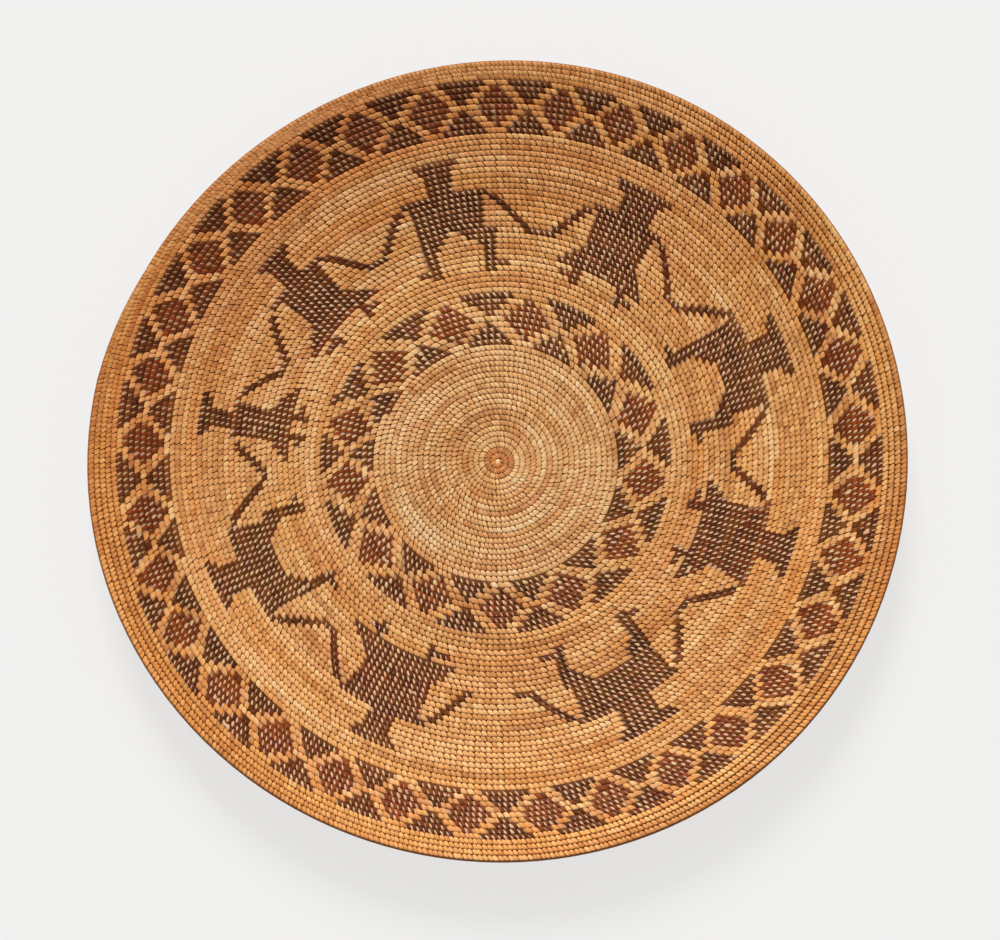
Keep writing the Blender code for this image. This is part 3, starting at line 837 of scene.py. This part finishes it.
def fibre_material(name, colours, casts, roughness, streaks, gloss):
    """Split plant fibre: tones by strand, fine streaks along the fibres, and a soft sheen.

    The two casts are what the colour is multiplied with where the warm cast and the blush are
    full. A fixed brown cast is multiplied in as painted shade where strands meet and dive.
    """
    material, tree, shader = new_material(name)
    tone = add_node(tree, "ShaderNodeAttribute", attribute_name="tone").outputs["Fac"]
    streak = fibre_noise(tree, STREAKS, {"Detail": 3.0, "Roughness": 0.65})
    shade = add_node(tree, "ShaderNodeMath", {0: streak, 1: 0.5}, operation='SUBTRACT').outputs[0]
    shade = add_node(tree, "ShaderNodeMath", {0: shade, 1: streaks, 2: tone},
                     operation='MULTIPLY_ADD').outputs[0]
    ramp = add_node(tree, "ShaderNodeValToRGB", {"Fac": shade})
    stops = ramp.color_ramp.elements
    stops[0].position, stops[0].color = 0.1, colour_of(colours[0])
    stops[1].position, stops[1].color = 0.9, colour_of(colours[2])
    stops.new(0.5).color = colour_of(colours[1])
    colour = ramp.outputs["Color"]
    # The seam cast is painted shade where strands meet and dive
    for fact, cast in zip(("cast", "blush", "seam"), (*casts, PAINTED_SEAM_SHADE)):
        colour = times_share(tree, colour, fact, cast)
    shader.inputs["Specular IOR Level"].default_value = gloss
    surface(tree, shader, colour, roughness, streak, 0.5, STREAK_DEPTH)
    return material


def grass_material(name, colours, roughness):
    """Bundled grass stems: pale where they show between strands, painted shade in the tight seams.

    The six colours are the painted seam shade, two of stems, two hues that vary slowly and the
    grey cast of the painted side shade.
    """
    material, tree, shader = new_material(name)
    showing = add_node(tree, "ShaderNodeAttribute", attribute_name="showing").outputs["Fac"]
    stems = fibre_noise(tree, STEMS, {"Detail": 2.0})
    hues = fibre_noise(tree, [STEM_HUES_PER_MILLIMETRE] * 3, {"Detail": 1.0})
    stem_ramp = add_node(tree, "ShaderNodeValToRGB", {"Fac": stems})
    hue_ramp = add_node(tree, "ShaderNodeValToRGB", {"Fac": hues})
    for ramp, colour_pair in ((stem_ramp, colours[1:3]), (hue_ramp, colours[3:5])):
        for stop, place, colour in zip(ramp.color_ramp.elements, (0.35, 0.65), colour_pair):
            stop.position, stop.color = place, colour_of(colour)
    pale = add_node(tree, "ShaderNodeMix", {
        SHARE: 1.0, FIRST: stem_ramp.outputs["Color"], SECOND: hue_ramp.outputs["Color"]},
        data_type='RGBA', blend_type='MULTIPLY').outputs[MIXED]
    # Painted side shade: the pale stems turn greyer there
    pale = times_share(tree, pale, "aged", colours[5])
    # Where the bundle does not show, it takes the dark brown of the painted seam shade
    shown = add_node(tree, "ShaderNodeMix", {
        SHARE: showing, FIRST: colour_of(colours[0]), SECOND: pale},
        data_type='RGBA').outputs[MIXED]
    surface(tree, shader, shown, roughness, stems, 0.6, STEM_DEPTH)
    return material


def floor_material(name, colour, roughness):
    """White paper lit from below as well, so that a shadow on it stays light to the camera."""
    material, tree, shader = new_material(name)
    shader.inputs["Base Color"].default_value = colour_of(colour)
    shader.inputs["Roughness"].default_value = roughness
    glow = add_node(tree, "ShaderNodeEmission", {"Color": colour_of(colour)}).outputs[0]
    path = add_node(tree, "ShaderNodeLightPath").outputs["Is Camera Ray"]
    share = add_node(tree, "ShaderNodeMath", {0: path, 1: FLOOR_GLOW_SHARE},
                     operation='MULTIPLY').outputs[0]
    mixed = add_node(tree, "ShaderNodeMixShader", {
        0: share, 1: shader.outputs[0], 2: glow}).outputs[0]
    tree.links.new(mixed, tree.nodes["Material Output"].inputs["Surface"])
    return material


# ---- settings


def colour_property(name, description, hex_code):
    return bpy.props.FloatVectorProperty(
        name=name, description=description, default=linear(hex_code), subtype='COLOR',
        size=3, min=0, max=1)


class GamblingTraySewing(bpy.types.PropertyGroup):
    """How close the sewing is."""
    tan_cover: bpy.props.FloatProperty(
        name="Tan cover", description="Width of a tan strand as a share of the stitch spacing",
        default=0.97, min=0.3, max=1.2, subtype='FACTOR')
    coloured_cover: bpy.props.FloatProperty(
        name="Coloured cover",
        description="Width of a red or dark strand as a share of the stitch spacing",
        default=0.68, min=0.3, max=1.2, subtype='FACTOR')


class GamblingTrayColours(bpy.types.PropertyGroup):
    """Colours of the fibres."""
    tan: colour_property("Tan root", "Scraped root of the ground", "E1AC70")
    tan_dark: colour_property("Tan root, darkest", "The darkest tan strands", "B97F4A")
    tan_light: colour_property("Tan root, lightest", "The palest tan strands", "F4D3A0")
    red: colour_property("Red bark", "Bark-on shoot of the diamonds", "7E3E10")
    dark: colour_property("Dark root", "Dyed root of the figures and triangles", "653914")
    grass: colour_property("Grass", "Stems of the bundle inside the coil", "E8C3A2")
    knot: colour_property("Knot root", "Root at the start, darkened by handling", "C48C5A")
    floor: colour_property("Floor", "The floor under the tray", "F1F0EF")


def shaded(colour, share):
    """The colour made lighter or darker by a share."""
    hue, saturation, value = colorsys.rgb_to_hsv(*colour)
    return colorsys.hsv_to_rgb(hue, saturation, min(1, value * share))


def kept_material(name, make, *values, **settings):
    """The named material, made once."""
    return bpy.data.materials.get(name) or make(name, *values, **settings)


def tan_material(colours):
    """Scraped sedge root: satin, warm tan, uneven from strand to strand."""
    return kept_material(
        "scraped_sedge_root", fibre_material, (colours.tan_dark, colours.tan, colours.tan_light),
        casts=((1.0, 0.76, 0.45), (1.0, 0.82, 0.84)),
        roughness=0.6, streaks=1.4, gloss=0.2)


def dark_material(colours):
    """Dyed fern root: dark brown and matt, with lighter streaks where the dye is thin."""
    return kept_material(
        "dyed_fern_root", fibre_material,
        (shaded(colours.dark, 0.45), colours.dark, shaded(colours.dark, 1.9)),
        casts=((0.95, 0.76, 0.66), (1.0, 0.66, 0.78)),
        roughness=0.6, streaks=1.3, gloss=0.1)


def red_material(colours):
    """Split shoot with its bark on: deep red-brown and slightly glossy."""
    return kept_material(
        "red_bark_shoot", fibre_material,
        (shaded(colours.red, 0.5), colours.red, shaded(colours.red, 1.7)),
        casts=((0.95, 0.75, 0.7), (0.85, 0.72, 0.9)),
        roughness=0.55, streaks=0.8, gloss=0.12)


def knot_material(colours):
    """Sedge root darkened by handling: browner and smoother than the rest."""
    return kept_material(
        "handled_sedge_root", fibre_material,
        (shaded(colours.knot, 0.6), colours.knot, shaded(colours.knot, 1.5)),
        casts=((1.0, 0.74, 0.47), (1.0, 0.82, 0.84)),
        roughness=0.55, streaks=0.9, gloss=0.2)


def bundle_material(colours):
    """Dried grass stems side by side: matt pale straw, here yellower or pinker, greyer in painted
    shade.
    """
    return kept_material(
        "bundled_grass", grass_material,
        # The first colour is painted seam shade, and the last is the grey cast of painted side
        # shade
        (linear("905014"), shaded(colours.grass, 0.7), colours.grass,
         linear("FFFFD8"), linear("FFE8E6"), linear("C8B8A8")), roughness=0.8)


# ---- operators


def sew_tan(context, names, *nodes, material=tan_material, slot="tan_root"):
    """Pieces of close sewing, which all stand for the same solids."""
    scene = context.scene
    for name in names:
        sew_piece(name, material(scene.gambling_tray_colours), slot, nodes,
                  scene.gambling_tray_sewing.tan_cover)


def sew_coloured(context, material, slot, *names):
    """Red or dark pieces, each of which stands for the solid of its own name."""
    scene = context.scene
    for name in names:
        sew_piece(name, material(scene.gambling_tray_colours), slot, (name,),
                  scene.gambling_tray_sewing.coloured_cover, COLOURED_LOOP_WIDTH)


class GAMBLINGTRAY_OT_foundation(bpy.types.Operator):
    """Lay the coiled bundle of grass stems that the stitches wrap"""
    bl_idname = "gambling_tray.foundation"
    bl_label = "Grass foundation"

    def execute(self, context):
        colours = context.scene.gambling_tray_colours
        grass_bundle("grass_foundation", bundle_material(colours), (
            "foundation_middle", "foundation_inner_band", "foundation_field_1",
            "foundation_field_2", "foundation_outer_band"))
        return {'FINISHED'}


class GAMBLINGTRAY_OT_knot(bpy.types.Operator):
    """Sew the starting knot at the centre"""
    bl_idname = "gambling_tray.knot"
    bl_label = "Starting knot"

    def execute(self, context):
        sew_tan(context, KNOT_PARTS, "start_knot", material=knot_material, slot="knot")
        knot_core("start_knot_core", tan_material(context.scene.gambling_tray_colours),
                  ("start_knot",))
        return {'FINISHED'}


class GAMBLINGTRAY_OT_middle(bpy.types.Operator):
    """Sew the plain tan middle on both faces"""
    bl_idname = "gambling_tray.middle"
    bl_label = "Plain middle"

    def execute(self, context):
        sew_tan(context, MIDDLE_PARTS, "middle_strands", "back_base_strands")
        return {'FINISHED'}


def sew_band(context, prefix, ground_parts):
    """A band's tan ground, red diamonds and two rows of dark triangles."""
    sew_tan(context, ground_parts, prefix + "_tan_ground")
    sew_coloured(context, red_material, "red_bark", prefix + "_red_diamonds")
    sew_coloured(context, dark_material, "dark_root",
                 prefix + "_outer_triangles", prefix + "_inner_triangles")


class GAMBLINGTRAY_OT_inner_band(bpy.types.Operator):
    """Sew the inner band of red diamonds between dark triangles"""
    bl_idname = "gambling_tray.inner_band"
    bl_label = "Inner band"

    def execute(self, context):
        sew_band(context, "inner_band", INNER_BAND_PARTS)
        return {'FINISHED'}


class GAMBLINGTRAY_OT_outer_band(bpy.types.Operator):
    """Sew the outer band of red diamonds between dark triangles"""
    bl_idname = "gambling_tray.outer_band"
    bl_label = "Outer band"

    def execute(self, context):
        sew_band(context, "outer_band", OUTER_BAND_PARTS)
        return {'FINISHED'}


class GAMBLINGTRAY_OT_field(bpy.types.Operator):
    """Sew the tan ground round the figures"""
    bl_idname = "gambling_tray.field"
    bl_label = "Figure field"

    def execute(self, context):
        sew_tan(context, FIELD_PARTS, "figure_field_tan_ground", "back_wall_strands")
        return {'FINISHED'}


class GAMBLINGTRAY_OT_figures(bpy.types.Operator):
    """Sew the nine dark figures hand in hand"""
    bl_idname = "gambling_tray.figures"
    bl_label = "Figures"

    def execute(self, context):
        sew_coloured(context, dark_material, "dark_root", *(figure.name for figure in FIGURES))
        return {'FINISHED'}


class GAMBLINGTRAY_OT_rim(bpy.types.Operator):
    """Sew the last plain rounds at the rim"""
    bl_idname = "gambling_tray.rim"
    bl_label = "Rim"

    def execute(self, context):
        sew_tan(context, RIM_PARTS, "rim_strands")
        return {'FINISHED'}


def aim(item, target, azimuth, elevation, distance):
    """Put a lamp or camera at these degrees and this far from a point that it looks at."""
    turn, rise = math.radians(azimuth), math.radians(elevation)
    away = Vector((math.cos(turn) * math.cos(rise), math.sin(turn) * math.cos(rise),
                   math.sin(rise)))
    item.location = Vector(target) + away * distance
    item.rotation_euler = (Vector(target) - item.location).to_track_quat('-Z', 'Y').to_euler()


def key_lamp():
    """A wide, even light from one side, as from a large softbox far away."""
    light = bpy.data.lights.new("key_lamp", 'SUN')
    light.angle = math.radians(KEY_WIDTH_DEGREES)
    light.energy = KEY_STRENGTH
    aim(add_object("key_lamp", light), (0, 0, 0), KEY_AZIMUTH_DEGREES, KEY_ELEVATION_DEGREES,
        KEY_DISTANCE)


def studio_world():
    """Plain even light from all round, white where the camera sees it."""
    world = bpy.data.worlds.new("studio")
    world.use_nodes = True
    bpy.context.scene.world = world
    tree = world.node_tree
    background = tree.nodes["Background"]
    path = add_node(tree, "ShaderNodeLightPath")
    seen = add_node(tree, "ShaderNodeMix", {
        "Factor": path.outputs["Is Camera Ray"], 2: WORLD_STRENGTH, 3: WORLD_SEEN_STRENGTH},
        data_type='FLOAT')
    background.inputs["Color"].default_value = (1, 1, 1, 1)
    tree.links.new(seen.outputs[0], background.inputs["Strength"])


class GAMBLINGTRAY_OT_stage(bpy.types.Operator):
    """Set the floor, the studio light and the camera"""
    bl_idname = "gambling_tray.stage"
    bl_label = "Stage"

    def execute(self, context):
        scene = context.scene
        mesh = bpy.data.meshes.new("floor")
        half = FLOOR_HALF_WIDTH
        mesh.from_pydata([(-half, -half, 0), (half, -half, 0), (half, half, 0), (-half, half, 0)],
                         [], [(0, 1, 2, 3)])
        mesh.materials.append(floor_material(
            "floor_paper", scene.gambling_tray_colours.floor, roughness=0.9))
        floor = add_object("floor", mesh)
        key_lamp()
        studio_world()
        camera_data = bpy.data.cameras.new("camera")
        camera_data.lens = CAMERA_LENS_MILLIMETRES
        scene.camera = add_object("camera", camera_data)
        aim(scene.camera, CAMERA_TARGET, CAMERA_AZIMUTH_DEGREES, CAMERA_ELEVATION_DEGREES,
            CAMERA_DISTANCE)
        scene.view_settings.view_transform = 'Standard'
        return {'FINISHED'}


OPERATORS = (
    GAMBLINGTRAY_OT_foundation, GAMBLINGTRAY_OT_knot, GAMBLINGTRAY_OT_middle,
    GAMBLINGTRAY_OT_inner_band, GAMBLINGTRAY_OT_field, GAMBLINGTRAY_OT_figures,
    GAMBLINGTRAY_OT_outer_band, GAMBLINGTRAY_OT_rim, GAMBLINGTRAY_OT_stage)


class GAMBLINGTRAY_PT_panel(bpy.types.Panel):
    """The tray's settings and steps"""
    bl_idname = "GAMBLINGTRAY_PT_panel"
    bl_label = "Gambling tray"
    bl_space_type = 'VIEW_3D'
    bl_region_type = 'UI'
    bl_category = "Gambling tray"

    def draw(self, context):
        for group in (context.scene.gambling_tray_sewing, context.scene.gambling_tray_colours):
            for setting in group.__annotations__:
                self.layout.prop(group, setting)
        for operator in OPERATORS:
            self.layout.operator(operator.bl_idname)


CLASSES = (GamblingTraySewing, GamblingTrayColours, *OPERATORS, GAMBLINGTRAY_PT_panel)


def register():
    for item in CLASSES:
        bpy.utils.register_class(item)
    bpy.types.Scene.gambling_tray_sewing = bpy.props.PointerProperty(type=GamblingTraySewing)
    bpy.types.Scene.gambling_tray_colours = bpy.props.PointerProperty(type=GamblingTrayColours)


def unregister():
    del bpy.types.Scene.gambling_tray_colours
    del bpy.types.Scene.gambling_tray_sewing
    for item in reversed(CLASSES):
        bpy.utils.unregister_class(item)


def main():
    register()
    for operator in OPERATORS:
        getattr(bpy.ops.gambling_tray, operator.bl_idname.split(".")[1])()


if __name__ == "__main__":
    main()
